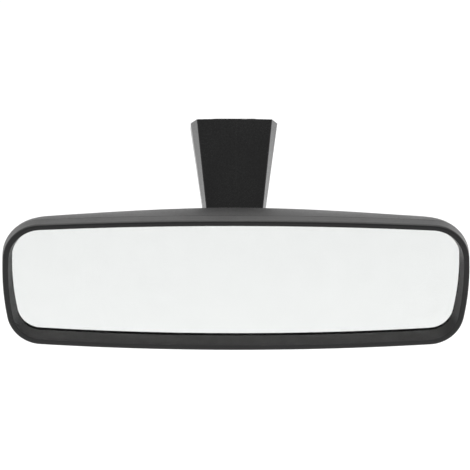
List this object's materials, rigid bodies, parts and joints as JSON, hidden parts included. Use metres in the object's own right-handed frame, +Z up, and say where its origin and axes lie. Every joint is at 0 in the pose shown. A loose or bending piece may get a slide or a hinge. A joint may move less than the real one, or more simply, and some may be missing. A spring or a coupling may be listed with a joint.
{
  "type": "interior rearview mirror",
  "caption": "Car interior rearview mirror: wide wedge glass in a black bezel and bowl housing, ball joint, dip lever under it and tapered windscreen stem.",
  "frame": {"origin": "middle of the foot's windscreen plane, at the mouth of the button channel", "axes": "+Z up, +Y towards the windscreen and out of the car's front, the glass looks along -Y, +X to the right of someone facing the glass"},
  "size_m": [0.2402, 0.1017, 0.1086],
  "materials": {
    "housing_plastic": "fine grained black moulding",
    "bezel_plastic": "satin black moulding",
    "stem_plastic": "satin black moulding",
    "mirror_glass": "polished wedge glass",
    "silvering": "silvered back",
    "foam": "closed cell foam",
    "inner_plastic": "glass-filled nylon",
    "acetal": "natural acetal",
    "steel": "zinc plated",
    "spring_steel": "oiled spring steel",
    "die_cast": "zinc die casting"
  },
  "bodies": {
    "stem": {"stem_shell": "stem_plastic", "stem_rear_cover": "stem_plastic", "cover_screw": "steel", "arm_core": "die_cast", "ball_stud": "steel", "foot_channel": "steel", "foot_screws": "steel", "retaining_spring": "spring_steel"},
    "yaw_cup": {"rear_ball_cup": "acetal"},
    "pitch_cup": {"front_ball_cup": "acetal"},
    "socket": {"pivot_plate": "inner_plastic", "socket_ring": "inner_plastic", "socket_screws": "steel", "ball_spring": "spring_steel"},
    "head": {"housing": "housing_plastic", "bezel": "bezel_plastic", "mirror_glass": "mirror_glass", "mirror_coating": "silvering", "glass_pad": "foam", "hinge_pin": "steel", "lever_axle": "steel", "detent_spring": "spring_steel"},
    "lever": {"dip_lever": "bezel_plastic"}
  },
  "joints": [
    {"name": "mirror_yaw", "type": "hinge", "parent": "stem", "child": "yaw_cup", "pos_m": [0, -0.06319, -0.05705], "axis": [0, 0, 1], "range_deg": [-20, 20]},
    {"name": "mirror_pitch", "type": "hinge", "parent": "yaw_cup", "child": "pitch_cup", "pos_m": [0, -0.06319, -0.05705], "axis": [1, 0, 0], "range_deg": [-9, 15]},
    {"name": "mirror_roll", "type": "hinge", "parent": "pitch_cup", "child": "socket", "pos_m": [0, -0.06319, -0.05705], "axis": [0, 1, 0], "range_deg": [-8, 8]},
    {"name": "dip_tilt", "type": "hinge", "parent": "socket", "child": "head", "pos_m": [0, -0.07219, -0.03205], "axis": [-1, 0, 0], "range_deg": [0, 4.2]},
    {"name": "dip_lever_turn", "type": "hinge", "parent": "head", "child": "lever", "pos_m": [0, -0.06919, -0.08205], "axis": [-1, 0, 0], "range_deg": [0, 50], "deforming": ["detent_spring"]}
  ],
  "couplings": [
    {"joint": "dip_lever_turn", "follows": "dip_tilt", "ratio": 11.905}
  ]
}
